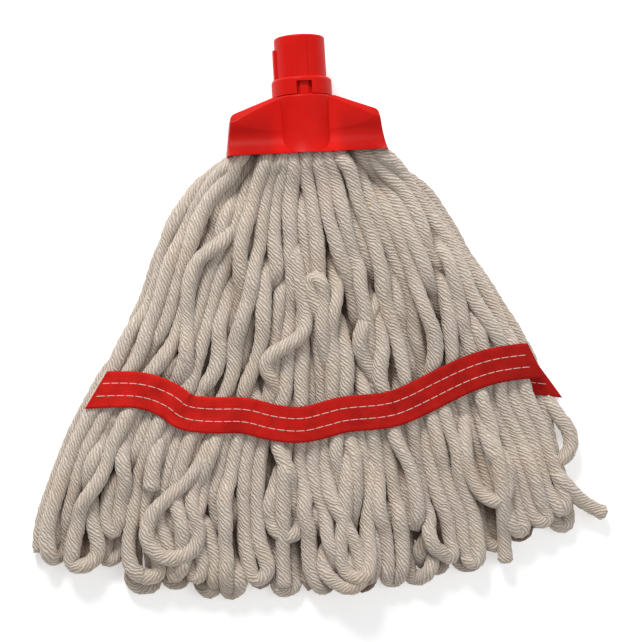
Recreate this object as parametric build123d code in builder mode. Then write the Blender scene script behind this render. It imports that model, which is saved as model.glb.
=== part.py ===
from build123d import *
import math
import os

# Looped-end string mop head, lying flat on its back face.
# Millimetres. The origin is the centre of the handle socket's mouth, +Y runs out of
# the socket towards the handle, +X is to the right and +Z is up, out of the front face.

os.makedirs("parts", exist_ok=True)

# ---------------------------------------------------------------- driving dimensions
FLOOR = -20.0

# handle socket
BORE_R = 12.0
TUBE_R = 14.6
BORE_DEPTH = 44.5
TUBE_END = -47.0
RIM_FILLET = 1.2
COLLAR_R = 17.3
COLLAR_TOP = -24.0
COLLAR_END = -34.3
COLLAR_FILLET = 2.0
COLLAR_GAP = 8.7
RIB_WIDTH = 5.5
RIB_PROUD = 0.8
PAD_R = 15.9
PAD_HALF = 3.5
PAD_TOP = -7.0
PIN_HOLE_R = 1.75
PIN_HOLE_Y = -15.0
FLANGE_R = 15.5
FLANGE_TOP = -37.2
FLANGE_END = -39.2

# clamp housing
WALL = 2.2
SHELL_TOP = -34.5
MOUTH_Y = -68.0
MOUTH_HALF = 45.6
MOUTH_DEPTH = 20.0
SHOULDER_HALF = 42.3
SHOULDER_Y = -44.0
SHOULDER_FILLET = 4.0
WING_DEPTH = 12.9
WAIST_DEPTH = 11.8
WAIST_Y = -55.0
WAIST_RUN = 6.5
EDGE_BEVEL = 4.5
EDGE_BEVEL_DROP = 3.2
EDGE_ROUND = 1.4
BOSS_R = 17.9
TUBE_HOLE_R = 14.8
DISH_R = 300.0
DISH_X = 10.0
DISH_Y = -38.0
DISH_DEPTH = 1.5
SPLIT_GAP = 0.1

# screws, driven from the rear shell into posts on the front shell
SCREW_R = 1.75
SCREW_HEAD_R = 3.0
SCREW_HEAD_H = 1.9
SCREW_SEAT = -10.6
SCREW_TIP = 8.4
SCREW_POST_R = 4.2
UPPER_SCREWS = [(-31, -47), (31, -47)]
LOWER_SCREWS = [(-24, -59.5), (24, -59.5)]

# clamp bar, head band and the folded middle of the yarn
BAR_HALF = 38.0
BAR_TOP = -56.0
BAR_END = -63.0
BAR_DEPTH = 3.0
TAPE = 1.0
FIT = 0.2
FOLD_TOP = -51.6
FOLD_END = 16.8

# yarn skirts
LOOPS = 20
LOOPS_PER_HANK = 4
HINGE_CUT = 20.6
SKIRT_GAP = 0.6
LOOP_GAP = 0.15
FAN_Y = -5.5
FRINGE_Y = 116.0
FRINGE_R = 436.0
FRINGE_ROUND = 6.0
SKIRT_SIDE = [(-68, 46), (-74, 56), (-89, 71), (-109, 83), (-156, 105), (-222, 139), (-267, 159), (-300, 158)]

# tail bands
BAND_R = 208.0
BAND_WIDTH = 20.5
BAND_HALF_ANGLE = 34.0
THREAD = 0.8
STITCH_ROWS = [BAND_WIDTH / 3, BAND_WIDTH * 2 / 3]

# height of each skirt's upper and lower face along its length: (y, z); the front one dips
# below the mouth to leave room for the housing when the handle is raised
FRONT_TOP = [(-60, 11.5), (-81, 12), (-92, 17), (-125, 7), (-160, 0), (-245, 0), (-330, -4)]
FRONT_UNDER = [(-60, 0), (-90, -0.3), (-130, -8), (-160, -10.3), (-245, -10.3), (-330, -11.5)]
BACK_TOP = [(y, z - SKIRT_GAP) for y, z in FRONT_UNDER]
BAND_TOP_FACE = 0.0
BAND_UNDER_FACE = -10.3


# ---------------------------------------------------------------- shared helpers
def finish(part, name):
    part.label = name
    export_step(part, "parts/" + name + ".step")


# ---------------------------------------------------------------- handle socket
with BuildPart() as socket_tube:
    # neck and blind floor
    with BuildSketch(Plane.XZ):
        Circle(TUBE_R)
    extrude(amount=-TUBE_END)
    # stepped collar that sits on the housing
    with BuildSketch(Plane.XZ.offset(-COLLAR_TOP)):
        Circle(COLLAR_R)
    extrude(amount=COLLAR_TOP - COLLAR_END)
    fillet(socket_tube.edges().filter_by(GeomType.CIRCLE).filter_by_position(
        Axis.Y, COLLAR_TOP - 0.1, COLLAR_TOP + 0.1).sort_by(SortBy.RADIUS)[-1], COLLAR_FILLET)
    # the collar is split in front, beside the rib
    with BuildSketch(Plane.XY):
        with Locations((0, (COLLAR_TOP + COLLAR_END) / 2 - 3)):
            Rectangle(COLLAR_GAP, COLLAR_TOP - COLLAR_END)
    extrude(amount=COLLAR_R + 1, mode=Mode.SUBTRACT)
    with BuildSketch(Plane.XZ):
        Circle(TUBE_R)
    extrude(amount=-COLLAR_END + 1, mode=Mode.ADD)
    fillet(socket_tube.faces().sort_by(Axis.Y)[-1].edges(), RIM_FILLET)
    # front rib along the whole neck
    with BuildSketch(Plane.XZ.offset(RIM_FILLET)):
        with Locations((0, TUBE_R / 2 + RIB_PROUD)):
            RectangleRounded(RIB_WIDTH, TUBE_R, RIB_PROUD * 0.9)
    extrude(amount=-COLLAR_END - RIM_FILLET)
    # side pad with the fixing hole
    with BuildSketch(Plane.XZ.offset(-PAD_TOP)):
        Circle(PAD_R)
        with Locations((-PAD_R / 2, 0)):
            Rectangle(PAD_R + 2, 2 * PAD_HALF, mode=Mode.INTERSECT)
    extrude(amount=PAD_TOP - COLLAR_TOP)
    # flange that the housing traps
    with BuildSketch(Plane.XZ.offset(-FLANGE_TOP)):
        Circle(FLANGE_R)
    extrude(amount=FLANGE_TOP - FLANGE_END)
    # bore and fixing hole
    with BuildSketch(Plane.XZ):
        Circle(BORE_R)
    extrude(amount=BORE_DEPTH, mode=Mode.SUBTRACT)
    with BuildSketch(Plane.YZ.offset(-PAD_R - 1)):
        with Locations((PIN_HOLE_Y, 0)):
            Circle(PIN_HOLE_R)
    extrude(amount=PAD_R, mode=Mode.SUBTRACT)
finish(socket_tube.part, "socket_tube")


# ---------------------------------------------------------------- clamp housing
def housing_block(inset):
    """Outer form of the housing, or its cavity when inset by the wall, run 1 mm past the mouth."""
    half = MOUTH_HALF - inset
    shoulder = SHOULDER_HALF - inset
    top = SHELL_TOP - inset
    wing = WING_DEPTH - inset
    mouth = MOUTH_DEPTH - inset
    end = MOUTH_Y - 1
    with BuildPart() as block:
        # plan outline
        with BuildSketch(Plane.XY.offset(-MOUTH_DEPTH - 1)):
            with BuildLine():
                Polyline((-half, end), (-half, MOUTH_Y), (-shoulder, SHOULDER_Y - inset),
                         (-BOSS_R + inset, top - 0.5), (BOSS_R - inset, top - 0.5),
                         (shoulder, SHOULDER_Y - inset), (half, MOUTH_Y), (half, end), close=True)
            make_face()
            fillet(vertices().filter_by_position(Axis.Y, SHOULDER_Y - inset - 0.1, SHOULDER_Y - inset + 0.1),
                   SHOULDER_FILLET)
        extrude(amount=2 * MOUTH_DEPTH + 2)
        # side profile: flat wing, concave waist, flared mouth
        with BuildSketch(Plane.YZ.offset(-MOUTH_HALF - 1)):
            with BuildLine():
                upper = Spline((WAIST_Y + WAIST_RUN, wing), (WAIST_Y, WAIST_DEPTH - inset), (MOUTH_Y, mouth),
                               tangents=[(-1, 0), (-0.45, 1)])
                Line((top, wing), upper @ 0)
                Line(upper @ 1, (end, mouth))
                Line((end, mouth), (end, -mouth))
                Line((end, -mouth), (MOUTH_Y, -mouth))
                lower = Spline((MOUTH_Y, -mouth), (WAIST_Y, -WAIST_DEPTH + inset), (WAIST_Y + WAIST_RUN, -wing),
                               tangents=[(0.45, 1), (1, 0)])
                Line(lower @ 1, (top, -wing))
                Line((top, -wing), (top, wing))
            make_face()
        extrude(amount=2 * MOUTH_HALF + 2, mode=Mode.INTERSECT)
    return block.part


def boss_block(inset):
    """Round boss over the socket, flaring into the mouth."""
    top = SHELL_TOP - inset
    end = MOUTH_Y - 1
    with BuildPart() as boss:
        with BuildSketch(Plane.XY):
            with BuildLine():
                flare = Spline((BOSS_R - inset, WAIST_Y), (MOUTH_DEPTH - inset, MOUTH_Y),
                               tangents=[(0, -1), (0.35, -1)])
                Polyline(flare @ 0, (BOSS_R - inset, top), (0, top), (0, end),
                         (MOUTH_DEPTH - inset, end), flare @ 1)
            make_face()
        revolve(axis=Axis.Y)
        if not inset:
            rim = boss.edges().filter_by(GeomType.CIRCLE).sort_by(Axis.Y)[-1]
            fillet(rim, 1.6)
    return boss.part


def screw_holes(depth_from, depth_to, radius, places):
    """Straight cutters along Z at the given screw places."""
    with BuildPart() as cutters:
        with BuildSketch(Plane.XY.offset(depth_from)):
            with Locations(*places):
                Circle(radius)
        extrude(amount=depth_to - depth_from)
    return cutters.part


with BuildPart() as wings:
    add(housing_block(0))
    # bevel along each sloping top edge, front and rear
    for side in (-1, 1):
        along = Vector(side * (SHOULDER_HALF - BOSS_R), SHOULDER_Y - SHELL_TOP + 0.5, 0).normalized()
        inward = Vector(side * along.Y, -abs(along.X), 0)
        start = Vector(side * BOSS_R, SHELL_TOP - 0.5, 0) - along * 6
        for face in (-1, 1):
            with BuildSketch(Plane(origin=start, x_dir=inward, z_dir=along)):
                Polygon((-5, face * (WING_DEPTH + 5)), (-5, face * (WING_DEPTH - EDGE_BEVEL_DROP)),
                        (0, face * (WING_DEPTH - EDGE_BEVEL_DROP)), (EDGE_BEVEL, face * WING_DEPTH),
                        (EDGE_BEVEL, face * (WING_DEPTH + 5)), align=None)
            extrude(amount=50, mode=Mode.SUBTRACT)
    fillet(wings.edges().filter_by(lambda edge: abs(edge.center().Z) > 5 and abs(edge.center().X) > BOSS_R
                                   and edge.center().Y > MOUTH_Y + 1), EDGE_ROUND)
boss_solid = boss_block(0)
wing_cavity = housing_block(WALL)
boss_cavity = boss_block(WALL)
all_screws = UPPER_SCREWS + LOWER_SCREWS

with BuildPart() as dishes:
    # shallow dish in each wing, front and rear, kept clear of the flared mouth
    with Locations(*[(side * DISH_X, DISH_Y, face * (WING_DEPTH - DISH_DEPTH + DISH_R))
                     for side in (-1, 1) for face in (-1, 1)]):
        Sphere(DISH_R)
    with Locations((0, WAIST_Y + MOUTH_HALF, 0)):
        Box(2 * MOUTH_HALF + 10, 2 * MOUTH_HALF, 3 * MOUTH_DEPTH, mode=Mode.INTERSECT)

with BuildPart() as housing:
    add(wings.part)
    add(dishes.part, mode=Mode.SUBTRACT)
    add(boss_solid)
    add(wing_cavity, mode=Mode.SUBTRACT)
    add(boss_cavity, mode=Mode.SUBTRACT)
    with BuildSketch(Plane.XZ.offset(-SHELL_TOP - 1)):
        Circle(TUBE_HOLE_R)
    extrude(amount=WALL + 2, mode=Mode.SUBTRACT)

with BuildPart() as post_bodies:
    add(screw_holes(SCREW_SEAT - 0.4, -SCREW_SEAT + 0.4, SCREW_POST_R, all_screws))
    # the lower posts stop at the head band
    with BuildSketch(Plane.XY.offset(-BAR_DEPTH - TAPE - 2 * FIT)):
        with Locations((0, (BAR_TOP + BAR_END) / 2)):
            Rectangle(2 * BAR_HALF, 12)
    extrude(amount=2 * (BAR_DEPTH + TAPE + 2 * FIT), mode=Mode.SUBTRACT)


def half_shell(name, sign):
    """One clamshell half, with its screw posts; sign is the side of the split it fills."""
    with BuildPart() as shell:
        add(housing.part)
        add(post_bodies.part)
        with BuildSketch(Plane.XY.offset(sign * SPLIT_GAP)):
            with Locations((0, (SHELL_TOP + MOUTH_Y) / 2)):
                Rectangle(2 * MOUTH_HALF + 4, SHELL_TOP - MOUTH_Y)
        extrude(amount=sign * 40, mode=Mode.INTERSECT)
        if sign > 0:
            add(screw_holes(-1, SCREW_TIP + 0.4, SCREW_R + 0.05, all_screws), mode=Mode.SUBTRACT)
        else:
            add(screw_holes(-30, SCREW_SEAT, SCREW_HEAD_R + FIT, all_screws), mode=Mode.SUBTRACT)
            add(screw_holes(-30, 1, SCREW_R + FIT, all_screws), mode=Mode.SUBTRACT)
    finish(shell.part, name)
    return shell.part


front_shell = half_shell("front_shell", 1)
rear_shell = half_shell("rear_shell", -1)

with BuildPart() as shell_screws:
    with BuildSketch(Plane.XY.offset(SCREW_SEAT - SCREW_HEAD_H)):
        with Locations(*all_screws):
            Circle(SCREW_HEAD_R)
    extrude(amount=SCREW_HEAD_H)
    fillet(shell_screws.faces().filter_by(Plane.XY).group_by(Axis.Z)[0].edges(), 0.8)
    with BuildSketch(Plane.XY.offset(SCREW_SEAT)):
        with Locations(*all_screws):
            Circle(SCREW_R)
    extrude(amount=SCREW_TIP - SCREW_SEAT)
    # cross recess in each head
    with BuildSketch(Plane.XY.offset(SCREW_SEAT - SCREW_HEAD_H)):
        with Locations(*all_screws):
            Rectangle(3.0, 0.7)
            Rectangle(0.7, 3.0)
    extrude(amount=1.1, mode=Mode.SUBTRACT)
finish(shell_screws.part, "shell_screws")


# ---------------------------------------------------------------- clamp bar and head band
with BuildPart() as clamp_bar:
    with BuildSketch(Plane.YZ.offset(-BAR_HALF)):
        with Locations(((BAR_TOP + BAR_END) / 2, 0)):
            SlotOverall(BAR_TOP - BAR_END, 2 * BAR_DEPTH)
    extrude(amount=2 * BAR_HALF)
    add(screw_holes(-30, 30, SCREW_R + FIT, LOWER_SCREWS), mode=Mode.SUBTRACT)
finish(clamp_bar.part, "clamp_bar")


def arch_bar(y_top, y_end, depth, half):
    """Round-topped bar along X, flat on the side towards the mouth."""
    with BuildPart() as arch:
        with BuildSketch(Plane.YZ.offset(-half)):
            with BuildLine():
                Polyline((y_top - depth, depth), (y_end, depth), (y_end, -depth), (y_top - depth, -depth))
                ThreePointArc((y_top - depth, depth), (y_top, 0), (y_top - depth, -depth))
            make_face()
        extrude(amount=2 * half)
    return arch.part


with BuildPart() as head_band:
    add(arch_bar(BAR_TOP + TAPE + FIT, BAR_END + 1, BAR_DEPTH + TAPE + FIT, BAR_HALF))
    add(arch_bar(BAR_TOP + FIT, BAR_END, BAR_DEPTH + FIT, BAR_HALF + 1), mode=Mode.SUBTRACT)
    add(screw_holes(-30, 30, SCREW_R + FIT, LOWER_SCREWS), mode=Mode.SUBTRACT)
finish(head_band.part, "head_band")

with BuildPart() as head_band_stitching:
    # one row of thread on each leg of the band, let into the yarn
    for face in (-1, 1):
        with BuildSketch(Plane.XY.offset(face * (BAR_DEPTH + TAPE + FIT))):
            with Locations((0, BAR_END + 1.6)):
                Rectangle(2 * BAR_HALF - 8, THREAD)
                with Locations(*[(x, 0) for x, _ in LOWER_SCREWS]):
                    Rectangle(12, 3, mode=Mode.SUBTRACT)
        extrude(amount=face * 0.3)
finish(head_band_stitching.part, "head_band_stitching")

with BuildPart() as yarn_fold:
    # yarn doubled over the bar, filling the cavity, and the knuckle it bends on
    with BuildSketch(Plane.YZ):
        with BuildLine():
            inner_face = WAIST_DEPTH - WALL - 0.4
            Polyline((MOUTH_Y, FOLD_END), (BAR_END, inner_face + 1.0), (WAIST_Y - 2, inner_face))
            ThreePointArc((WAIST_Y - 2, inner_face), (FOLD_TOP, 0), (WAIST_Y - 2, -inner_face))
            Polyline((WAIST_Y - 2, -inner_face), (BAR_END, -inner_face - 1.0), (MOUTH_Y, -FOLD_END))
            ThreePointArc((MOUTH_Y, -FOLD_END), (MOUTH_Y - FOLD_END, 0), (MOUTH_Y, FOLD_END))
        make_face()
    extrude(amount=BAR_HALF, both=True)
    add(arch_bar(BAR_TOP + TAPE + 2 * FIT, BAR_END, BAR_DEPTH + TAPE + 2 * FIT + 0.3, BAR_HALF + 1),
        mode=Mode.SUBTRACT)
    add(screw_holes(-30, 30, SCREW_POST_R + FIT, LOWER_SCREWS + UPPER_SCREWS), mode=Mode.SUBTRACT)
finish(yarn_fold.part, "yarn_fold")


# ---------------------------------------------------------------- yarn skirts
def loop_edge(fraction, shift):
    """Side of a loop: the skirt's own side, scaled towards the middle."""
    points = []
    for y, half in SKIRT_SIDE:
        points.append((fraction * half + shift, y))
    x_last = fraction * SKIRT_SIDE[-1][1] + shift
    y_last = FRINGE_Y - math.sqrt(FRINGE_R ** 2 - x_last ** 2)
    points[-1] = (x_last, y_last)
    return points


def arc_strip(inner, outer, half_angle, height, thickness):
    """Flat strip between two arcs about the centre of the fan, its underside at the given height."""
    side = math.radians(half_angle)
    near, far = [(math.sin(side) * r, FAN_Y - math.cos(side) * r) for r in (inner, outer)]
    with BuildPart() as strip:
        with BuildSketch(Plane.XY.offset(height)):
            with BuildLine():
                ThreePointArc((-near[0], near[1]), (0, FAN_Y - inner), near)
                Line(near, far)
                ThreePointArc(far, (0, FAN_Y - outer), (-far[0], far[1]))
                Line((-far[0], far[1]), (-near[0], near[1]))
            make_face()
        extrude(amount=thickness)
    return strip.part


def band_block(grow, height, thickness):
    """Tail band in plan, grown all round by a clearance."""
    half_angle = BAND_HALF_ANGLE + math.degrees(grow / BAND_R)
    return arc_strip(BAND_R - grow, BAND_R + BAND_WIDTH + grow, half_angle, height, thickness)


def skirt_slab(top, under, band_top, band_under):
    """Whole skirt before it is parted into loops, with the grooves of its tail band."""
    with BuildPart() as slab:
        with BuildSketch(Plane.YZ):
            with BuildLine():
                Polyline(*top, *reversed(under), close=True)
            make_face()
        extrude(amount=200, both=True)
        with BuildSketch(Plane.YZ):
            with Locations((MOUTH_Y, 0)):
                Circle(HINGE_CUT)
                with Locations((HINGE_CUT, 0)):
                    Rectangle(2 * HINGE_CUT, 4 * HINGE_CUT)
        extrude(amount=210, both=True, mode=Mode.SUBTRACT)
        add(band_block(FIT, band_top - TAPE - FIT, 8), mode=Mode.SUBTRACT)
        add(band_block(FIT, band_under + TAPE + FIT - 8, 8), mode=Mode.SUBTRACT)
    return slab.part


def make_hank(name, slab, first_loop):
    """One hank: neighbouring loops of yarn, each a separate solid."""
    with BuildPart() as hank:
        with BuildSketch(Plane.XY.offset(FLOOR - 5)):
            for index in range(first_loop, first_loop + LOOPS_PER_HANK):
                left = loop_edge(2 * index / LOOPS - 1, LOOP_GAP)
                right = loop_edge(2 * (index + 1) / LOOPS - 1, -LOOP_GAP)
                middle_x = (left[-1][0] + right[-1][0]) / 2
                tip_y = FRINGE_Y - math.sqrt((FRINGE_R + FRINGE_ROUND) ** 2 - middle_x ** 2)
                with BuildLine():
                    Spline(*left)
                    ThreePointArc(left[-1], (middle_x, tip_y), right[-1])
                    Spline(*right)
                    Line(left[0], right[0])
                make_face()
        extrude(amount=50)
        add(slab, mode=Mode.INTERSECT)
    finish(hank.part, name)


def make_skirt(side, top, under, band_top, band_under):
    """Five hanks with a tail band in front, its lining behind and two rows of stitching."""
    slab = skirt_slab(top, under, band_top, band_under)
    for number in range(LOOPS // LOOPS_PER_HANK):
        make_hank(side + "_yarn_hank_" + str(number + 1), slab, number * LOOPS_PER_HANK)
    with BuildPart() as band:
        add(band_block(0, band_top - TAPE, TAPE))
    finish(band.part, side + "_tail_band")
    with BuildPart() as lining:
        add(band_block(0, band_under + FIT / 2, TAPE))
    finish(lining.part, side + "_tail_band_lining")
    with BuildPart() as stitching:
        for row in STITCH_ROWS:
            add(arc_strip(BAND_R + row - THREAD / 2, BAND_R + row + THREAD / 2, BAND_HALF_ANGLE - 0.4,
                          band_top, SKIRT_GAP / 2))
    finish(stitching.part, side + "_band_stitching")


make_skirt("front", FRONT_TOP, FRONT_UNDER, BAND_TOP_FACE, BAND_UNDER_FACE)
make_skirt("back", BACK_TOP, [(-60, FLOOR), (-330, FLOOR)], BAND_UNDER_FACE - SKIRT_GAP, FLOOR)
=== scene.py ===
import math
import bpy
import numpy as np
from mathutils import Matrix, Vector, kdtree


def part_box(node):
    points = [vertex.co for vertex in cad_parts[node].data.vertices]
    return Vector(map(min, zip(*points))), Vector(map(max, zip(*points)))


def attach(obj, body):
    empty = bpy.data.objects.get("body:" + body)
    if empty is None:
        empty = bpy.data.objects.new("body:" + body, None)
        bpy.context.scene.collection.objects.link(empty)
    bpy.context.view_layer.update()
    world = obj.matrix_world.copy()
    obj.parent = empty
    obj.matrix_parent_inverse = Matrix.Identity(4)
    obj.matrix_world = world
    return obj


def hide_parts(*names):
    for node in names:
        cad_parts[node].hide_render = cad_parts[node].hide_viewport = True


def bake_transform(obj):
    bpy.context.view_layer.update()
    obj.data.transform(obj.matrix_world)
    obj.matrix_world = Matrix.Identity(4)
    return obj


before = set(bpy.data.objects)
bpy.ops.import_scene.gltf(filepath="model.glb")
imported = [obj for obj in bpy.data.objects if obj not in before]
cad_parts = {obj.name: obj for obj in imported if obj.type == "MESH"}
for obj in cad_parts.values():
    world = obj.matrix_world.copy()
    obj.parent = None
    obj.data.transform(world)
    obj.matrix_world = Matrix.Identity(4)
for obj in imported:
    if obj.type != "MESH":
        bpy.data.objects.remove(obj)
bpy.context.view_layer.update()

# A looped string mop head lying flat on a pale floor, seen from straight above.
# Metres, in the CAD frame: +Y runs out of the handle socket, +Z is up.

MM = 0.001
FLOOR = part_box("back_yarn_hank_3")[0][2]
MOUTH_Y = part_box("front_shell")[0][1]
YARN_D = 8.8 * MM
YARN_R = YARN_D / 2
LOOPS = 20
FRINGE_Y = 116 * MM
FRINGE_R = 436 * MM
rng = np.random.default_rng(20)


# ------------------------------------------------------------------ camera, light and floor
CAMERA_TARGET = (3.6, -163, -4)
CAMERA_SIDE = (-0.095, -0.02, 1.0)
CAMERA_UP = (0.0587, 0.998, 0)
CAMERA_DISTANCE = 0.95
CAMERA_LENS = 92.5


def make_camera():
    target = Vector(CAMERA_TARGET) * MM
    away = Vector(CAMERA_SIDE).normalized()
    up = Vector(CAMERA_UP)
    side = up.cross(away).normalized()
    up = away.cross(side).normalized()
    data = bpy.data.cameras.new("camera")
    data.sensor_width = 36
    data.lens = CAMERA_LENS
    camera = bpy.data.objects.new("camera", data)
    turn = Matrix((side, up, away)).transposed()
    camera.matrix_world = Matrix.Translation(target + away * CAMERA_DISTANCE) @ turn.to_4x4()
    bpy.context.scene.collection.objects.link(camera)
    bpy.context.scene.camera = camera


def make_light(name, place, aim, size, watts, colour):
    data = bpy.data.lights.new(name, "AREA")
    data.shape = "DISK"
    data.size = size
    data.energy = watts
    data.color = colour
    light = bpy.data.objects.new(name, data)
    light.location = place
    light.rotation_euler = (Vector(aim) - Vector(place)).to_track_quat("-Z", "Y").to_euler()
    bpy.context.scene.collection.objects.link(light)


def make_studio():
    make_light("key", (-0.30, 0.95, 0.80), (0, -0.16, 0), 0.5, 17.0, (1.0, 0.98, 0.95))
    make_light("fill", (0.8, -0.3, 1.2), (0, -0.16, 0), 0.9, 3.5, (0.96, 0.98, 1.0))
    world = bpy.data.worlds.new("studio")
    world.use_nodes = True
    background = world.node_tree.nodes["Background"]
    background.inputs["Color"].default_value = (1.0, 1.0, 1.0, 1)
    background.inputs["Strength"].default_value = 0.48
    bpy.context.scene.world = world
    bpy.context.scene.view_settings.view_transform = "Standard"
    bpy.ops.mesh.primitive_plane_add(size=6, location=(0, 0, FLOOR - 0.0003))
    floor = bpy.context.object
    floor.name = "floor"
    material, shader, nodes, links = new_material("floor_white")
    shader.inputs["Base Color"].default_value = (0.93, 0.93, 0.93, 1)
    shader.inputs["Roughness"].default_value = 0.9
    shader.inputs["Emission Color"].default_value = (1, 1, 1, 1)
    shader.inputs["Emission Strength"].default_value = 0.32
    floor.data.materials.append(material)


# ------------------------------------------------------------------ materials
def new_material(name):
    material = bpy.data.materials.new(name)
    material.use_nodes = True
    nodes = material.node_tree.nodes
    return material, nodes["Principled BSDF"], nodes, material.node_tree.links


def add_node(nodes, kind, **settings):
    node = nodes.new(kind)
    for key, value in settings.items():
        if key in node.inputs:
            node.inputs[key].default_value = value
        else:
            setattr(node, key, value)
    return node


def ramp(nodes, stops):
    node = nodes.new("ShaderNodeValToRGB")
    while len(node.color_ramp.elements) < len(stops):
        node.color_ramp.elements.new(0.5)
    for element, (place, colour) in zip(node.color_ramp.elements, stops):
        element.position = place
        element.color = (*colour, 1)
    return node


def maths(nodes, links, operation, first, second=None, third=None):
    node = nodes.new("ShaderNodeMath")
    node.operation = operation
    for slot, value in enumerate((first, second, third)):
        if value is None:
            continue
        if isinstance(value, (int, float)):
            node.inputs[slot].default_value = value
        else:
            links.new(value, node.inputs[slot])
    return node.outputs[0]


def yarn_material(name, light, dark):
    """Soft cotton yarn: fine plies winding round it, fibres, painted shade in the grooves between plies, and
    painted shade deep in the pile.
    """
    material, shader, nodes, links = new_material(name)
    coords = add_node(nodes, "ShaderNodeUVMap", uv_map="strand")
    split = nodes.new("ShaderNodeSeparateXYZ")
    links.new(coords.outputs[0], split.inputs[0])
    # u runs along the strand in turns of the twist, v once round it
    place = add_node(nodes, "ShaderNodeTexCoord")
    wander = add_node(nodes, "ShaderNodeTexNoise", Scale=260.0, Detail=2.0)
    links.new(place.outputs["Object"], wander.inputs["Vector"])
    wind = maths(nodes, links, "ADD", split.outputs[0], split.outputs[1])
    phase = maths(nodes, links, "MULTIPLY_ADD", wind, 11.0,
                  maths(nodes, links, "MULTIPLY", wander.outputs["Fac"], 1.7))
    wave = maths(nodes, links, "SINE", maths(nodes, links, "MULTIPLY", phase, 2 * math.pi))
    ridge = maths(nodes, links, "MULTIPLY_ADD", wave, 0.5, 0.5)
    # fibres drawn out along the plies
    stretch = nodes.new("ShaderNodeCombineXYZ")
    links.new(maths(nodes, links, "MULTIPLY", wind, 46.0), stretch.inputs[0])
    links.new(maths(nodes, links, "MULTIPLY", split.outputs[0], 5.0), stretch.inputs[1])
    fibre = add_node(nodes, "ShaderNodeTexNoise", Scale=1.0, Detail=4.0, Roughness=0.65)
    links.new(stretch.outputs[0], fibre.inputs["Vector"])
    height = maths(nodes, links, "MULTIPLY_ADD", fibre.outputs["Fac"], 0.55, ridge)
    bump = add_node(nodes, "ShaderNodeBump", Strength=0.75, Distance=0.0007)
    links.new(height, bump.inputs["Height"])
    links.new(bump.outputs[0], shader.inputs["Normal"])
    # colour: pale crests and painted shade in the grooves, random fibre tone, slow cream and pinkish drift
    groove_shade_and_tone = maths(nodes, links, "MULTIPLY_ADD", fibre.outputs["Fac"], 0.9,
                 maths(nodes, links, "MULTIPLY_ADD", ridge, 0.42, -0.22))
    shades = ramp(nodes, [(0.12, dark), (0.62, light)])
    links.new(groove_shade_and_tone, shades.inputs[0])
    drift = add_node(nodes, "ShaderNodeTexNoise", Scale=38.0, Detail=3.0)
    links.new(place.outputs["Object"], drift.inputs["Vector"])
    tints = ramp(nodes, [(0.32, (1.0, 0.935, 0.86)), (0.5, (1.0, 0.98, 0.95)), (0.68, (0.97, 0.92, 0.90))])
    links.new(drift.outputs["Fac"], tints.inputs[0])
    mix = add_node(nodes, "ShaderNodeMixRGB", blend_type="MULTIPLY")
    mix.inputs[0].default_value = 1.0
    links.new(shades.outputs[0], mix.inputs[1])
    links.new(tints.outputs[0], mix.inputs[2])
    # painted brown shade where the strand lies deep in the pile, under other strands
    pile_shade = add_node(nodes, "ShaderNodeAttribute", attribute_name="pile_shade")
    deep_shade = add_node(nodes, "ShaderNodeMixRGB", blend_type="MULTIPLY")
    deep_shade.inputs[2].default_value = (0.24, 0.165, 0.115, 1)
    links.new(pile_shade.outputs["Fac"], deep_shade.inputs[0])
    links.new(mix.outputs[0], deep_shade.inputs[1])
    links.new(deep_shade.outputs[0], shader.inputs["Base Color"])
    shader.inputs["Roughness"].default_value = 0.93
    shader.inputs["Specular IOR Level"].default_value = 0.15
    shader.inputs["Sheen Weight"].default_value = 0.25
    shader.inputs["Sheen Roughness"].default_value = 0.6
    return material


def plastic_material():
    """Moulded red plastic, a little cloudy, with a faint orange peel and painted shade darkening the wings."""
    material, shader, nodes, links = new_material("moulded_red")
    place = add_node(nodes, "ShaderNodeTexCoord")
    cloud = add_node(nodes, "ShaderNodeTexNoise", Scale=45.0, Detail=5.0)
    links.new(place.outputs["Object"], cloud.inputs["Vector"])
    reds = ramp(nodes, [(0.3, (0.50, 0.0055, 0.003)), (0.7, (0.58, 0.0085, 0.005))])
    links.new(cloud.outputs["Fac"], reds.inputs[0])
    # painted shade: the wings beside the boss are darkened in colour
    split = nodes.new("ShaderNodeSeparateXYZ")
    links.new(place.outputs["Object"], split.inputs[0])
    out = maths(nodes, links, "ABSOLUTE", split.outputs[0])
    wing_shade_span = maths(nodes, links, "MULTIPLY_ADD", out, 180.0, -3.0)
    wing_shade_span.node.use_clamp = True
    low = maths(nodes, links, "MULTIPLY_ADD", split.outputs[1], -90.0, -3.6)
    low.node.use_clamp = True
    painted_wing_shade = add_node(nodes, "ShaderNodeMixRGB", blend_type="MULTIPLY")
    painted_wing_shade.inputs[2].default_value = (0.76, 0.76, 0.76, 1)
    links.new(maths(nodes, links, "MULTIPLY", wing_shade_span, low), painted_wing_shade.inputs[0])
    links.new(reds.outputs[0], painted_wing_shade.inputs[1])
    links.new(painted_wing_shade.outputs[0], shader.inputs["Base Color"])
    gloss = ramp(nodes, [(0.35, (0.36, 0.36, 0.36)), (0.7, (0.48, 0.48, 0.48))])
    links.new(cloud.outputs["Fac"], gloss.inputs[0])
    links.new(gloss.outputs[0], shader.inputs["Roughness"])
    peel = add_node(nodes, "ShaderNodeTexNoise", Scale=900.0, Detail=2.0)
    links.new(place.outputs["Object"], peel.inputs["Vector"])
    bump = add_node(nodes, "ShaderNodeBump", Strength=0.12, Distance=0.0002)
    links.new(peel.outputs["Fac"], bump.inputs["Height"])
    links.new(bump.outputs[0], shader.inputs["Normal"])
    shader.inputs["Specular IOR Level"].default_value = 0.09
    return material


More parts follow.
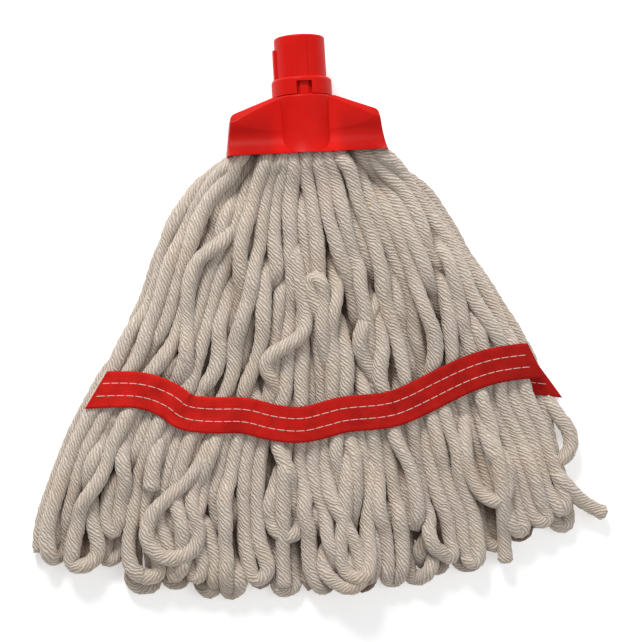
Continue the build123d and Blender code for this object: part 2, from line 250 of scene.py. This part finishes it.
def tape_material():
    """Woven red tape: ribs across it, warp lines along it, painted shade in the weave's hollows, and painted
    shade darkening it towards its right end.
    """
    material, shader, nodes, links = new_material("woven_red")
    coords = add_node(nodes, "ShaderNodeUVMap", uv_map="tape")
    split = nodes.new("ShaderNodeSeparateXYZ")
    links.new(coords.outputs[0], split.inputs[0])
    # u along the tape and v across it, both in millimetres
    weft_angle = maths(nodes, links, "MULTIPLY", split.outputs[0], 2 * math.pi / 0.95)
    weft = maths(nodes, links, "SINE", weft_angle)
    warp_angle = maths(nodes, links, "MULTIPLY", split.outputs[1], 2 * math.pi / 0.8)
    warp = maths(nodes, links, "SINE", warp_angle)
    weave = maths(nodes, links, "MULTIPLY", weft, warp)
    lines = maths(nodes, links, "MULTIPLY_ADD", warp, 0.35, maths(nodes, links, "MULTIPLY", weave, 0.5))
    height = maths(nodes, links, "MULTIPLY_ADD", lines, 0.5, 0.5)
    bump = add_node(nodes, "ShaderNodeBump", Strength=0.7, Distance=0.0004)
    links.new(height, bump.inputs["Height"])
    links.new(bump.outputs[0], shader.inputs["Normal"])
    place = add_node(nodes, "ShaderNodeTexCoord")
    cloud = add_node(nodes, "ShaderNodeTexNoise", Scale=160.0, Detail=4.0)
    links.new(place.outputs["Object"], cloud.inputs["Vector"])
    cloudy = maths(nodes, links, "MULTIPLY", cloud.outputs["Fac"], 0.6)
    # colour: random cloudiness, and painted shade in the hollows of the weave
    groove_shade_and_tone = maths(nodes, links, "MULTIPLY_ADD", height, 0.5, cloudy)
    reds = ramp(nodes, [(0.2, (0.32, 0.004, 0.003)), (0.75, (0.70, 0.016, 0.010))])
    links.new(groove_shade_and_tone, reds.inputs[0])
    # painted shade: the tape darkens towards its right end, as if lit from the left
    spot = nodes.new("ShaderNodeSeparateXYZ")
    links.new(place.outputs["Object"], spot.inputs[0])
    painted_right_shade = add_node(nodes, "ShaderNodeMixRGB", blend_type="MULTIPLY")
    painted_right_shade.inputs[2].default_value = (0.66, 0.60, 0.60, 1)
    right_end_shade = maths(nodes, links, "MULTIPLY_ADD", spot.outputs[0], 6.0, 0.42)
    right_end_shade.node.use_clamp = True
    links.new(right_end_shade, painted_right_shade.inputs[0])
    links.new(reds.outputs[0], painted_right_shade.inputs[1])
    links.new(painted_right_shade.outputs[0], shader.inputs["Base Color"])
    shader.inputs["Roughness"].default_value = 0.85
    shader.inputs["Specular IOR Level"].default_value = 0.12
    shader.inputs["Sheen Weight"].default_value = 0.04
    return material


def thread_material():
    material, shader, nodes, links = new_material("white_thread")
    place = add_node(nodes, "ShaderNodeTexCoord")
    twist = add_node(nodes, "ShaderNodeTexNoise", Scale=1500.0, Detail=2.0)
    links.new(place.outputs["Object"], twist.inputs["Vector"])
    shades = ramp(nodes, [(0.3, (0.62, 0.40, 0.36)), (0.7, (0.86, 0.66, 0.61))])
    links.new(twist.outputs["Fac"], shades.inputs[0])
    links.new(shades.outputs[0], shader.inputs["Base Color"])
    shader.inputs["Roughness"].default_value = 0.7
    return material


def steel_material():
    material, shader, nodes, links = new_material("zinc_steel")
    place = add_node(nodes, "ShaderNodeTexCoord")
    grain = add_node(nodes, "ShaderNodeTexNoise", Scale=700.0, Detail=4.0)
    links.new(place.outputs["Object"], grain.inputs["Vector"])
    gloss = ramp(nodes, [(0.3, (0.25, 0.25, 0.25)), (0.7, (0.42, 0.42, 0.42))])
    links.new(grain.outputs["Fac"], gloss.inputs[0])
    links.new(gloss.outputs[0], shader.inputs["Roughness"])
    shader.inputs["Base Color"].default_value = (0.62, 0.62, 0.63, 1)
    shader.inputs["Metallic"].default_value = 1.0
    return material


# ------------------------------------------------------------------ routes of the tapes and the yarn loops
TAPE_WIDE = 20.5 * MM
TAPE_THICK = 1.0 * MM
FRONT_TAPE = [(-127, -195), (-113, -195), (-98, -197), (-84, -204), (-78, -211), (-61, -213.5), (-43, -214),
              (-29, -219.5), (-11, -222.5), (5, -219), (14, -217), (39, -217), (53, -212.5), (70, -205),
              (90, -197), (110, -193), (127.5, -193)]
BACK_TAPE = [(-126, -201), (-112, -204), (-84, -213), (-43, -222), (0, -225), (43, -219), (84, -206),
             (110, -200), (122, -201.5), (136, -204)]

# the skirt's sides at distances below the mouth, its rounded shoulders first
SIDE_Y = np.array([-60, -68, -76, -89, -109, -156, -190, -222, -240, -267, -290, -320]) * MM
LEFT_X = np.array([40, 43, 57, 68, 78, 100, 119, 145, 157, 166, 166, 156]) * MM
RIGHT_X = np.array([40, 43, 56, 64, 77, 107, 128, 136, 138, 145, 149, 146]) * MM
STEP = 5.0 * MM
REACH = 0.9 * YARN_D


def across(fraction, y):
    """x of a strand that keeps to this fraction of the skirt's half width, -1 left to 1 right."""
    right = np.interp(-y, -SIDE_Y, RIGHT_X) - YARN_R
    left = np.interp(-y, -SIDE_Y, LEFT_X) - YARN_R
    return np.where(fraction > 0, fraction * right, fraction * left)


def ease(value):
    value = np.clip(value, 0, 1)
    return value * value * (3 - 2 * value)


def strand_line(fraction, sign, loop, is_front):
    """Points down one strand, from inside the housing to its fringe end."""
    start = -61 * MM
    count = int((start - loop["end"]) * 1.06 / STEP)
    y = np.linspace(start, loop["end"], count)
    away = np.clip((MOUTH_Y - y) / (130 * MM), 0, 1)
    to_tip = ease((y - loop["end"]) / (70 * MM))
    cross = 2 * to_tip - 1 if loop["crossed"] else 1.0
    spread = (loop["apart"] + loop["open"] * (1 - ease((y - loop["end"]) / (38 * MM)))) * cross
    wander = rng.normal(0, 0.055) * (1 - ease((MOUTH_Y - y) / (110 * MM)))
    wander = wander + rng.normal(0, 0.02) * np.exp(-((y + 150 * MM) / (28 * MM)) ** 2)
    x = across(np.clip(fraction + wander, -1, 1), y) + sign * spread
    for wave, most in ((rng.uniform(11, 17), 1.8), (rng.uniform(26, 40), 3.4)):
        x = x + rng.uniform(0.3, 1) * most * MM * away * np.sin(y / (wave * MM) + rng.uniform(0, 6.3))
    limit_right, limit_left = across(np.array([1.0]), y), across(np.array([-1.0]), y)
    x = np.clip(x, limit_left, limit_right)
    if is_front:
        # the front skirt draws in at its right edge and shows the end of the back tape
        x = np.where(x > 0, x * (1 - 0.075 * np.exp(-((y + 208 * MM) / (26 * MM)) ** 2)), x)
    side = 1 if is_front else -1
    layer = rng.integers(0, 4)
    # the housing narrows upwards from its mouth
    room_at = [MOUTH_Y - 3 * MM, MOUTH_Y, MOUTH_Y + 3 * MM, MOUTH_Y + 7 * MM]
    room = np.interp(y, room_at, [13, 12, 8, 4.4]) * MM
    z_mouth = side * room * (1 - 0.28 * layer)
    bulge = side * (5.0 - 1.4 * layer) * MM * np.exp(-((y + 84 * MM) / (9 * MM)) ** 2)
    settled = (-6.0 if is_front else -15.0) * MM
    fall = ease((MOUTH_Y - 10 * MM - y) / (80 * MM))
    z = z_mouth * (1 - fall) + settled * fall + bulge + rng.uniform(-2, 2) * MM * away
    return np.stack([x, y, z], axis=1)


def loop_line(index, is_front):
    """Both strands of one loop and the bend that joins them at the fringe."""
    centre = (index + 0.5) / LOOPS * 2 - 1 + rng.uniform(-0.015, 0.015)
    tip_x = float(across(np.array(centre), -0.3))
    end = FRINGE_Y - math.sqrt(FRINGE_R ** 2 - tip_x ** 2) + rng.uniform(-4, 9) * MM + 0.06 * max(tip_x, 0)
    if is_front and index in (2, 8, 13, 16):
        end += 26 * MM
    loop = {"end": end + YARN_D,
            "apart": rng.uniform(3.2, 5.0) * MM,
            "open": rng.uniform(0.5, 4.5) * MM,
            "crossed": rng.random() < 0.35}
    down = strand_line(centre, -1, loop, is_front)
    up = strand_line(centre, 1, loop, is_front)[::-1]
    first, last = down[-1], up[0]
    middle = (first + last) / 2
    gap = (last - first) / 2
    if np.linalg.norm(gap) < 5 * MM:
        gap = gap / (np.linalg.norm(gap) + 1e-9) * 5 * MM
    gap[2] = 0
    lean = np.array([tip_x * 0.35 + rng.uniform(-25, 25) * MM, -0.1, 0.0])
    lean = lean / np.linalg.norm(lean) * 8.5 * MM
    turns = np.linspace(0, math.pi, 8)[1:-1]
    bend = [middle - gap * 1.15 * math.cos(a) + lean * math.sin(a) for a in turns]
    return np.concatenate([down, bend, up])


def settle(lines, rounds):
    """Lays the strands down: they fall, rest on each other and the floor, and keep their length."""
    points = np.concatenate(lines)
    home = points.copy()
    starts = np.cumsum([0] + [len(line) for line in lines])
    strand = np.concatenate([np.full(len(line), i) for i, line in enumerate(lines)])
    inner = np.ones(len(points), bool)
    inner[starts[:-1]] = False
    inner[starts[1:] - 1] = False
    held = points[:, 1] > MOUTH_Y - 4 * MM
    joined = np.flatnonzero(strand[:-1] == strand[1:])
    rest = np.linalg.norm(points[joined + 1] - points[joined], axis=1)
    free = ~held
    weight = free.astype(float)[:, None]
    pull = np.clip((MOUTH_Y - 4 * MM - points[:, 1]) / (30 * MM), 0, 1)[:, None]
    # sewn flat between the tapes: front strands in one band of height, back strands below them
    tape_x = [p[0] * MM for p in FRONT_TAPE]
    tape_y = np.interp(points[:, 0], tape_x, [p[1] * MM for p in FRONT_TAPE])
    under_tape = np.abs(points[:, 1] - tape_y) < 13 * MM
    ceiling = np.where(strand < LOOPS, -4.5 * MM, -12.5 * MM)
    for step in range(rounds):
        if step % 12 == 0:
            tree = kdtree.KDTree(len(points))
            for i, p in enumerate(points):
                tree.insert(p, i)
            tree.balance()
            pairs = []
            for i, p in enumerate(points):
                for _, j, _ in tree.find_range(p, 12 * MM):
                    if j > i and (strand[i] != strand[j] or j - i > 5):
                        pairs.append((i, j))
            pairs = np.array(pairs)
        points[:, 2] -= 0.10 * MM * weight[:, 0]
        points += (home - points) * np.array([0.022, 0.03, 0.0]) * weight
        smooth = (points[:-2] + points[2:]) / 2 - points[1:-1]
        points[1:-1] += smooth * 0.10 * (inner[1:-1] & free[1:-1])[:, None]
        a, b = pairs[:, 0], pairs[:, 1]
        gap = points[b] - points[a]
        size = np.linalg.norm(gap, axis=1) + 1e-9
        reach = REACH * (0.78 + 0.22 * np.minimum(pull[a, 0], pull[b, 0]))
        push = np.clip(reach - size, 0, None) / size * 0.36
        move = gap * push[:, None]
        for axis in range(3):
            change = np.bincount(b, move[:, axis], len(points)) - np.bincount(a, move[:, axis], len(points))
            points[:, axis] += np.clip(change, -1.2 * MM, 1.2 * MM) * weight[:, 0]
        for _ in range(2):
            gap = points[joined + 1] - points[joined]
            size = np.linalg.norm(gap, axis=1)
            fix = gap * ((size - rest) / size * 0.4)[:, None]
            for axis in range(3):
                change = np.bincount(joined, fix[:, axis], len(points))
                change -= np.bincount(joined + 1, fix[:, axis], len(points))
                points[:, axis] += change * weight[:, 0]
        low = FLOOR + YARN_R * 1.02
        points[:, 2] = np.where(free, np.maximum(points[:, 2], low), points[:, 2])
        points[:, 2] = np.where(under_tape, np.minimum(points[:, 2], ceiling), points[:, 2])
    return [points[starts[i]:starts[i + 1]] for i in range(len(lines))]


def smooth_route(name, points):
    """Points along the smooth line that has these control points."""
    curve = bpy.data.curves.new(name, "CURVE")
    curve.dimensions = "3D"
    curve.resolution_u = 4
    spline = curve.splines.new("NURBS")
    spline.points.add(len(points) - 1)
    spline.points.foreach_set("co", np.c_[points, np.ones(len(points))].ravel())
    spline.order_u = 3
    spline.use_endpoint_u = True
    carrier = bpy.data.objects.new(name, curve)
    bpy.context.scene.collection.objects.link(carrier)
    mesh = bpy.data.meshes.new_from_object(carrier)
    line = np.empty(len(mesh.vertices) * 3)
    mesh.vertices.foreach_get("co", line)
    bpy.data.objects.remove(carrier)
    bpy.data.meshes.remove(mesh)
    bpy.data.curves.remove(curve)
    return line.reshape(-1, 3)


def even_steps(line, step):
    size = np.linalg.norm(np.diff(line, axis=0), axis=1)
    along = np.concatenate([[0], np.cumsum(size)])
    count = max(4, int(round(along[-1] / step)))
    wanted = np.linspace(0, along[-1], count + 1)
    return np.stack([np.interp(wanted, along, line[:, i]) for i in range(3)], axis=1), along[-1]


# ------------------------------------------------------------------ rope meshes
SIDES = 20
RING = 1.9 * MM
PITCH = 27.0 * MM


def make_mesh(name, points, faces, material, smooth=True):
    mesh = bpy.data.meshes.new(name)
    mesh.from_pydata(points, [], faces)
    mesh.update()
    piece = bpy.data.objects.new(name, mesh)
    bpy.context.scene.collection.objects.link(piece)
    mesh.materials.append(material)
    mesh.polygons.foreach_set("use_smooth", [smooth] * len(mesh.polygons))
    return piece


def carry_frames(line):
    """Side vectors along a line that turn no more than the line does."""
    along = np.gradient(line, axis=0)
    along /= np.linalg.norm(along, axis=1)[:, None]
    sides = np.empty_like(line)
    side = np.cross(along[0], (0, 0, 1.0))
    if np.linalg.norm(side) < 0.1:
        side = np.array([1.0, 0, 0])
    for i, direction in enumerate(along):
        side = side - direction * side.dot(direction)
        side = side / np.linalg.norm(side)
        sides[i] = side
    return sides, np.cross(along, sides)


def make_rope(name, line, material, radius, shade_cover, frayed=(False, False)):
    """One strand of twisted yarn along a line, softly lobed, fraying open where it was cut."""
    sides, ups = carry_frames(line)
    count = len(line)
    run = np.arange(count) * RING
    slow = 0.05 * np.sin(run / (17 * MM) + rng.uniform(0, 6))
    quick = 0.04 * np.sin(run / (6.3 * MM) + rng.uniform(0, 6))
    swell = 1 + slow + quick
    ends = np.minimum(run, run[-1] - run)
    for is_last, open_end in enumerate(frayed):
        from_end = (run[-1] - run) if is_last else run
        if open_end:
            swell = swell * (1 + 0.22 * np.exp(-from_end / (4 * MM)))
    swell = swell * np.clip(0.55 + ends / (2.5 * MM), 0.55, 1.0)
    swell = swell * (1 - 0.25 * ease((line[:, 1] - MOUTH_Y + 2 * MM) / (4 * MM)))
    angles = np.arange(SIDES) / SIDES * 2 * math.pi
    turn = 2 * math.pi * run / PITCH
    lobes = 1 + 0.055 * np.cos(4 * (angles[None, :] + turn[:, None])) + 0.02 * np.cos(
        11 * (angles[None, :] + turn[:, None]))
    reach = radius * swell[:, None] * lobes
    ring = (line[:, None, :] + sides[:, None, :] * (np.cos(angles)[None, :] * reach)[:, :, None]
            + ups[:, None, :] * (np.sin(angles)[None, :] * reach)[:, :, None])
    points = ring.reshape(-1, 3)
    points[:, 2] = np.maximum(points[:, 2], FLOOR + 0.05 * MM)
    first = np.arange(count - 1)[:, None] * SIDES
    now = np.arange(SIDES)[None, :]
    after = (now + 1) % SIDES
    quads = np.stack([first + now, first + after, first + SIDES + after, first + SIDES + now], axis=2)
    faces = quads.reshape(-1, 4).tolist()
    faces.append(list(range(SIDES))[::-1])
    faces.append([(count - 1) * SIDES + i for i in range(SIDES)])
    piece = make_mesh(name, points.tolist(), faces, material)
    mesh = piece.data
    layer = mesh.uv_layers.new(name="strand")
    u = np.stack([run[:-1], run[:-1], run[1:], run[1:]], axis=1) / PITCH
    u = np.repeat(u[:, None, :], SIDES, axis=1)
    v = np.stack([now[0], now[0] + 1, now[0] + 1, now[0]], axis=1) / SIDES
    v = np.repeat(v[None, :, :], count - 1, axis=0)
    flat = np.stack([u, v], axis=3).reshape(-1, 2)
    flat = np.concatenate([flat, np.zeros((2 * SIDES, 2))])
    layer.data.foreach_set("uv", flat.ravel())
    shade = mesh.attributes.new("pile_shade", "FLOAT", "POINT")
    # painted shade, on the upper side of a covered strand only
    rise = (ring[:, :, 2] - line[:, None, 2]) / radius
    dark = shade_cover[:, None] * np.clip(0.4 + 0.9 * rise, 0, 1)
    shade.data.foreach_set("value", dark.ravel().astype(np.float32))
    return piece


def pile_shade_amount(line, crown):
    """How much painted shade each point of a strand gets, by how deep in the pile it lies, from 0 on top to 1
    at the bottom.
    """
    deep_shade = np.clip((crown - line[:, 2] - 1.0 * MM) / (6 * MM), 0, 1)
    # less of it at the skirt's two side edges, where light comes in
    half = np.abs(across(np.sign(line[:, 0]), line[:, 1]))
    deep_shade = deep_shade * np.clip((1 - np.abs(line[:, 0]) / half) / 0.12, 0.2, 1)
    return np.convolve(np.pad(deep_shade, 2, mode="edge"), np.ones(5) / 5, mode="valid")


GRID_CELL = 5 * MM
GRID_SIZE = 110
GRID_CORNER = (-0.25, -0.40)


def grid_cell(points):
    """Column and row of each point in the coarse plan grid."""
    column = ((points[:, 0] - GRID_CORNER[0]) / GRID_CELL).astype(int)
    row = ((points[:, 1] - GRID_CORNER[1]) / GRID_CELL).astype(int)
    return np.clip(column, 0, GRID_SIZE - 1), np.clip(row, 0, GRID_SIZE - 1)


def crown_height(lines):
    """Height of the pile's top on the plan grid, as a function of points."""
    every = np.concatenate([even_steps(line, 2.5 * MM)[0] for line in lines])
    top = np.full((GRID_SIZE, GRID_SIZE), FLOOR + YARN_R)
    np.maximum.at(top, grid_cell(every), every[:, 2])
    padded = np.pad(top, 1, mode="edge")
    shifts = [padded[i:i + GRID_SIZE, j:j + GRID_SIZE] for i in range(3) for j in range(3)]
    top = np.maximum(top, np.max(shifts, axis=0) - 4.5 * MM)
    return lambda points: top[grid_cell(points)]


# strands, loops and loose ends on top of the pile, listed in millimetres: name, route,
# height over the pile, whether the first and last ends dive into it, whether the last is cut
EXTRAS = [
    ("ring_loop",
     [(-60, -214), (-63, -226), (-69, -240), (-79, -251), (-91, -259), (-101, -269), (-104, -281), (-98, -291),
      (-87, -294), (-76, -289), (-72, -278), (-77, -266), (-75, -254), (-67, -243), (-62, -230), (-56, -214)],
     5.5, True, True, False),
    ("side_loop",
     [(127, -203), (133, -212), (137.5, -220), (141, -227), (146, -233), (148, -241), (146, -248),
      (141, -252.5), (134, -254), (127, -251)],
     4.0, True, True, False),
    ("flick_end",
     [(130, -246), (136, -259), (142, -267), (149, -275), (157, -281), (166, -286)],
     2.5, True, False, True),
    ("cut_end_left",
     [(-21, -226), (-22, -242), (-24, -260), (-25, -280), (-26, -298), (-26, -315)],
     4.5, True, False, True),
    ("cut_end_right",
     [(96, -222), (99, -240), (102, -258), (103, -278), (104, -296), (104, -310)],
     4.5, True, False, True),
    ("short_end",
     [(-88, -210), (-91, -222), (-95, -233), (-98, -243), (-99, -254)],
     6.0, True, False, True),
    ("kinked_strand",
     [(-15, -104), (-10, -122), (-8, -142), (-5, -158), (-7, -170), (-17, -176), (-28, -181), (-31, -188),
      (-26, -197), (-21, -212)],
     6.5, True, True, False),
    ("stub_loop",
     [(8, -176), (3, -160), (-3, -146), (-1, -138), (4, -140), (5, -150), (3, -165), (4, -182), (8, -198)],
     6.0, True, True, False),
    ("hooked_strand",
     [(-42, -100), (-48, -114), (-59, -120), (-68, -127), (-72, -142), (-73, -160), (-75, -180), (-77, -200)],
     6.0, True, True, False),
    ("slanting_strand",
     [(38, -150), (30, -162), (24, -174), (26, -186), (33, -196), (36, -208)],
     6.0, True, True, False),
    ("low_loop",
     [(18, -222), (14, -246), (11, -272), (6, -296), (9, -309), (18, -312), (24, -304), (23, -284),
      (28, -258), (30, -226)],
     5.0, True, True, False),
    ("curl_loop",
     [(86, -214), (82, -236), (84, -256), (91, -270), (101, -274), (107, -266), (103, -254), (95, -240),
      (94, -216)],
     5.5, True, True, False),
]


def on_pile(points, crown, lift, dives):
    """A plan route laid on the pile; an end that dives goes down among the strands."""
    plan = np.array(points, float) * MM
    line = np.c_[plan, np.zeros(len(plan))]
    run = np.concatenate([[0], np.cumsum(np.linalg.norm(np.diff(plan, axis=0), axis=1))])
    rise = np.ones(len(plan))
    if dives[0]:
        rise = np.minimum(rise, ease(run / (22 * MM)))
    if dives[1]:
        rise = np.minimum(rise, ease((run[-1] - run) / (22 * MM)))
    line[:, 2] = np.maximum(crown(line) + (-7 + (7 + lift) * rise) * MM, FLOOR + YARN_R)
    return line


# ------------------------------------------------------------------ tail bands
TAPE_STEP = 0.75
TAPE_ROWS = 13
TAPE_BLUR = 14


def make_tape(name, route, slant, height_of, material, dashes, thread, drop):
    """Woven tape along a plan route, draped over whatever height_of says, and its two stitch rows."""
    line = smooth_route(name, np.c_[np.array(route, float) * MM, np.zeros(len(route))])
    line, length = even_steps(line, TAPE_STEP * MM)
    along = np.gradient(line, axis=0)
    along /= np.linalg.norm(along, axis=1)[:, None]
    sideways = np.stack([-along[:, 1], along[:, 0], np.zeros(len(line))], axis=1)
    rows = TAPE_ROWS
    count = len(line)
    offsets = np.linspace(-0.5, 0.5, rows)
    scallop = 1 + 0.02 * np.abs(np.sin(np.arange(count) * math.pi / 3.2))
    spread = offsets[None, :, None] * TAPE_WIDE * scallop[:, None, None]
    flat = line[:, None, :] + sideways[:, None, :] * spread
    # both ends are cut on a slant, the lower edge running on further
    run = np.arange(count) * TAPE_STEP * MM
    skew = slant[1] * np.exp(-(run[-1] - run) / (15 * MM)) - slant[0] * np.exp(-run / (15 * MM))
    flat -= along[:, None, :] * (offsets[None, :, None] * skew[:, None, None] * MM)
    heights = height_of(flat.reshape(-1, 3)).reshape(count, rows)
    # a stiff tape bridges the hollows between strands
    pick = np.maximum if dashes else np.minimum
    for _ in range(6):
        wide = np.pad(heights, 1, mode="edge")
        lengthwise = pick(wide[:-2, 1:-1], wide[2:, 1:-1])
        crosswise = pick(wide[1:-1, :-2], wide[1:-1, 2:])
        heights = pick(lengthwise, pick(heights, crosswise))
    kernel = np.exp(-(np.arange(-TAPE_BLUR, TAPE_BLUR + 1) / 6.0) ** 2)
    kernel /= kernel.sum()
    padded = np.pad(heights, ((TAPE_BLUR, TAPE_BLUR), (0, 0)), mode="edge")
    heights = np.stack([np.convolve(padded[:, i], kernel, mode="valid") for i in range(rows)], axis=1)
    heights = heights + drop
    top = flat.copy()
    top[:, :, 2] = heights + TAPE_THICK
    under = flat.copy()
    under[:, :, 2] = heights
    points = np.concatenate([top.reshape(-1, 3), under.reshape(-1, 3)])
    points[:, 2] = np.maximum(points[:, 2], FLOOR + 0.02 * MM)
    half = count * rows
    faces = []
    corners = []
    for i in range(count - 1):
        for j in range(rows - 1):
            a = i * rows + j
            faces.append((a, a + rows, a + rows + 1, a + 1))
            faces.append((half + a, half + a + 1, half + a + rows + 1, half + a + rows))
            corners += [(i, j), (i + 1, j), (i + 1, j + 1), (i, j + 1)]
            corners += [(i, j), (i, j + 1), (i + 1, j + 1), (i + 1, j)]
        for j, flip in ((0, False), (rows - 1, True)):
            a = i * rows + j
            quad = (a, half + a, half + a + rows, a + rows)
            faces.append(quad[::-1] if flip else quad)
            corners += [(i, j)] * 4
    for i, flip in ((0, True), (count - 1, False)):
        for j in range(rows - 1):
            a = i * rows + j
            quad = (a, half + a, half + a + 1, a + 1)
            faces.append(quad[::-1] if flip else quad)
            corners += [(i, j)] * 4
    piece = make_mesh(name, points.tolist(), faces, material)
    layer = piece.data.uv_layers.new(name="tape")
    uv = np.array(corners, float) * (TAPE_STEP, TAPE_WIDE / MM / (rows - 1))
    layer.data.foreach_set("uv", uv.ravel())
    stitches = None
    if dashes:
        stitches = make_stitches(name.replace("tail_band", "stitches"), top, offsets, thread)
    return piece, stitches, length


def make_stitches(name, top, offsets, thread):
    """Two rows of short white stitches, each a little rounded bar sunk in the tape."""
    points, faces = [], []
    dash, gap = 6, 1
    half_wide, proud = 0.24 * MM, 0.28 * MM
    for row_at in (-0.17, 0.17):
        column = np.array([[np.interp(row_at, offsets, section[:, k]) for k in range(3)] for section in top])
        for start in range(3, len(top) - dash - 2, dash + gap):
            stretch = column[start:start + dash + 1]
            base = len(points)
            for k, p in enumerate(stretch):
                taper = 0.7 if k in (0, dash) else 1.0
                ahead = column[min(start + k + 1, len(top) - 1)] - column[start + k - 1]
                side = np.array([-ahead[1], ahead[0], 0.0])
                side = side / np.linalg.norm(side) * half_wide * taper
                lift = np.array([0, 0, proud * taper])
                sink = np.array([0, 0, 0.25 * MM])
                points += [p - side - sink, p - side * 0.75 + lift * 0.6, p + lift,
                           p + side * 0.75 + lift * 0.6, p + side - sink]
            for k in range(dash):
                for j in range(4):
                    a = base + k * 5 + j
                    faces.append((a, a + 1, a + 6, a + 5))
                faces.append((base + k * 5 + 4, base + k * 5, base + k * 5 + 5, base + k * 5 + 9))
            faces.append(tuple(base + j for j in reversed(range(5))))
            faces.append(tuple(base + dash * 5 + j for j in range(5)))
    return make_mesh(name, [tuple(p) for p in points], faces, thread)


def envelope(lines, radius, upper):
    """Height of the strands' upper or lower skin above any plan point."""
    every = np.concatenate([even_steps(line, 2.5 * MM)[0] for line in lines])
    sign = 1 if upper else -1
    reach = radius * 1.3

    def height(points):
        result = np.empty(len(points))
        order = np.argsort(every[:, 0])
        xs = every[order, 0]
        for k, p in enumerate(points):
            lo, hi = np.searchsorted(xs, (p[0] - reach, p[0] + reach))
            near = every[order[lo:hi]]
            gap = ((near[:, :2] - p[:2]) ** 2).sum(axis=1)
            close = gap < reach ** 2
            if close.any():
                skin = near[close, 2] + sign * np.sqrt(np.clip(radius ** 2 - gap[close] * 0.6, 0, None))
                result[k] = skin.max() if upper else skin.min()
            else:
                nearest = np.argmin(((every[:, :2] - p[:2]) ** 2).sum(axis=1))
                result[k] = every[nearest, 2] + sign * radius * 0.6
        return result
    return height


# ------------------------------------------------------------------ build the object
def dress(material, *nodes):
    """Gives CAD pieces that stay as they are a better finish."""
    for node in nodes:
        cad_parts[node].data.materials.clear()
        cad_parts[node].data.materials.append(material)


def dress_housing():
    plastic, steel = plastic_material(), steel_material()
    dress(plastic, "socket_tube", "front_shell", "rear_shell", "clamp_bar")
    dress(steel, "shell_screws")


def make_yarn():
    lines = [loop_line(i, True) for i in range(LOOPS)] + [loop_line(i, False) for i in range(LOOPS)]
    lines = settle(lines, 280)
    crown = crown_height(lines)
    light, dark = (0.70, 0.635, 0.57), (0.37, 0.29, 0.23)
    yarn = yarn_material("cotton_yarn", light, dark)
    for i, line in enumerate(lines):
        is_front = i < LOOPS
        side = "front" if is_front else "back"
        name = side + "_loop_" + str(i % LOOPS + 1)
        route, length = even_steps(smooth_route(name, line), RING)
        # painted shade, darker where the strand lies deep in the pile
        shade_cover = pile_shade_amount(route, crown(route))
        rope = make_rope(name, route, yarn, YARN_R, shade_cover)
        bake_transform(rope)
        if i % LOOPS % 4 == 0:
            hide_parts(side + "_yarn_hank_" + str(i % LOOPS // 4 + 1))
        if i == LOOPS // 2:
            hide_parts("yarn_fold")
    return lines, crown, yarn


def make_extras(crown, yarn):
    """The stray loops and cut ends that stand out from the pile."""
    for name, points, lift, dives_first, dives_last, is_cut in EXTRAS:
        line = on_pile(points, crown, lift, (dives_first, dives_last))
        route, _ = even_steps(smooth_route(name, line), RING)
        # painted shade, darker where the strand lies deep in the pile
        shade_cover = pile_shade_amount(route, crown(route))
        rope = make_rope(name, route, yarn, YARN_R * 0.98, shade_cover, (False, is_cut))
        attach(rope, "front_skirt")


def make_bands(lines):
    tape, thread = tape_material(), thread_material()
    front, back = lines[:LOOPS], lines[LOOPS:]
    for side, strands, route, slant in (("front", front, FRONT_TAPE, (13.5, 8.5)),
                                        ("back", back, BACK_TAPE, (10.0, 20.0))):
        body = side + "_skirt"
        for part, upper in (("tail_band", True), ("tail_band_lining", False)):
            skin = envelope(strands, YARN_R, upper)
            drop = 0.1 * MM if upper else -TAPE_THICK + 0.1 * MM
            name = side + "_" + part + "_cloth"
            piece, stitches, length = make_tape(name, route, slant, skin, tape, upper, thread, drop)
            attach(piece, body)
            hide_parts(side + "_" + part)
            if stitches:
                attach(stitches, body)
                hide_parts(side + "_band_stitching")
    return tape, thread


make_camera()
make_studio()
dress_housing()
lines, crown, yarn = make_yarn()
make_extras(crown, yarn)
tape, thread = make_bands(lines)
dress(tape, "head_band")
dress(thread, "head_band_stitching")
